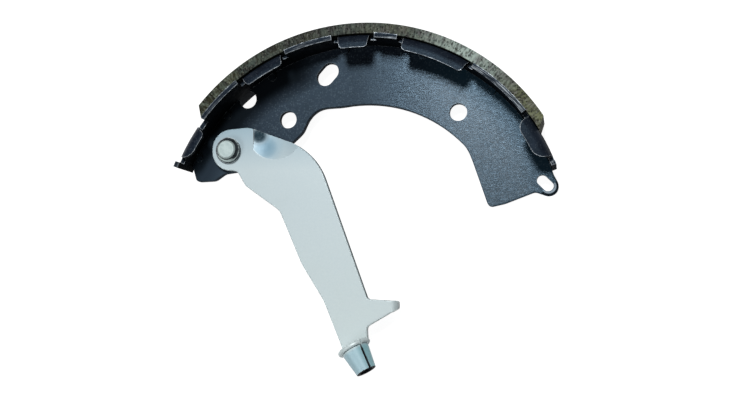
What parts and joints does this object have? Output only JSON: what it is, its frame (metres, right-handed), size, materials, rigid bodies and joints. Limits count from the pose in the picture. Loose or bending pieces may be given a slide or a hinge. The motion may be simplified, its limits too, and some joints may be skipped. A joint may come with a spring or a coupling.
{
  "type": "brake shoe",
  "caption": "Drum brake shoe: an arc of bonded lining on a pressed rim with folded tabs, a flat web, and a swinging parking lever that ends in a rolled cable hook.",
  "frame": {"origin": "on the drum's axis, in the middle of the web's thickness", "axes": "+Z along the drum's axis, out of the side that carries the lever; +Y from the axis towards the middle of the lining; +X towards the end with the spring slot"},
  "size_m": [0.1813, 0.1647, 0.027],
  "materials": {
    "friction": "ground, rough",
    "black_paint": "semi-gloss black",
    "zinc": "bright zinc plate",
    "black_oxide": "black oxide"
  },
  "bodies": {
    "shoe": {"lining": "friction", "rim": "black_paint", "web": "black_paint", "pivot_pin": "zinc", "spring_washer": "zinc", "horseshoe_clip": "black_oxide"},
    "lever": {"parking_lever": "zinc"}
  },
  "joints": [
    {"name": "lever_pivot", "type": "hinge", "parent": "shoe", "child": "lever", "pos_m": [-0.06664, 0.04444, 0], "axis": [0, 0, 1], "range_deg": [-94, 42.5]}
  ]
}
